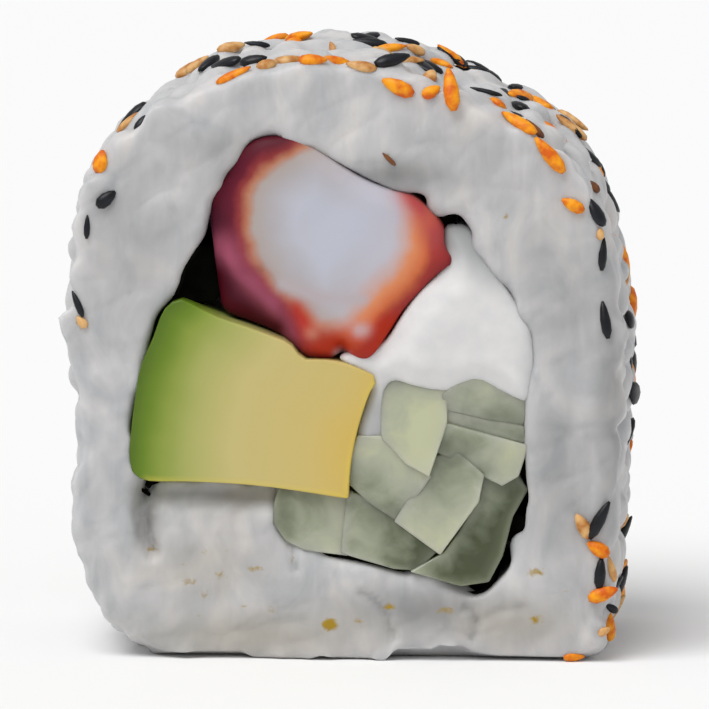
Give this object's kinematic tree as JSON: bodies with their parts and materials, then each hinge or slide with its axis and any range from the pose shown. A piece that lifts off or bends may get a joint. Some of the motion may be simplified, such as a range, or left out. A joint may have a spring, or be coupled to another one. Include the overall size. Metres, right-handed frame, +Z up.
{
  "type": "uramaki sushi roll piece",
  "caption": "Cut slice of an inside-out sushi roll: a thick rice wall rolled in sesame round nori, prawn, avocado, soft cheese and cucumber batons.",
  "frame": {"origin": "middle of the flat base that the piece stands on", "axes": "+X to the right across the cut face, +Y from the front cut to the back cut, +Z up"},
  "size_m": [0.0452, 0.0246, 0.0489],
  "materials": {
    "rice": "moist sticky cooked rice, slightly translucent",
    "nori": "damp seaweed sheet, nearly black",
    "prawn": "moist cooked prawn, pale flesh with an orange to dark red rim",
    "avocado": "soft ripe avocado, green at its skin side",
    "cream_cheese": "soft smooth fresh cheese",
    "cucumber": "wet translucent cucumber flesh",
    "black_sesame": "satin black seed hull",
    "orange_sesame": "satin orange-dyed seed hull",
    "tan_sesame": "satin toasted tan seed hull"
  },
  "bodies": {
    "root": {"rice": "rice", "nori": "nori", "prawn": "prawn", "avocado": "avocado", "cream_cheese": "cream_cheese", "cucumber_1": "cucumber", "cucumber_2": "cucumber", "cucumber_3": "cucumber", "cucumber_4": "cucumber", "cucumber_5": "cucumber", "cucumber_6": "cucumber", "cucumber_7": "cucumber", "cucumber_8": "cucumber", "cucumber_9": "cucumber"}
  },
  "joints": []
}
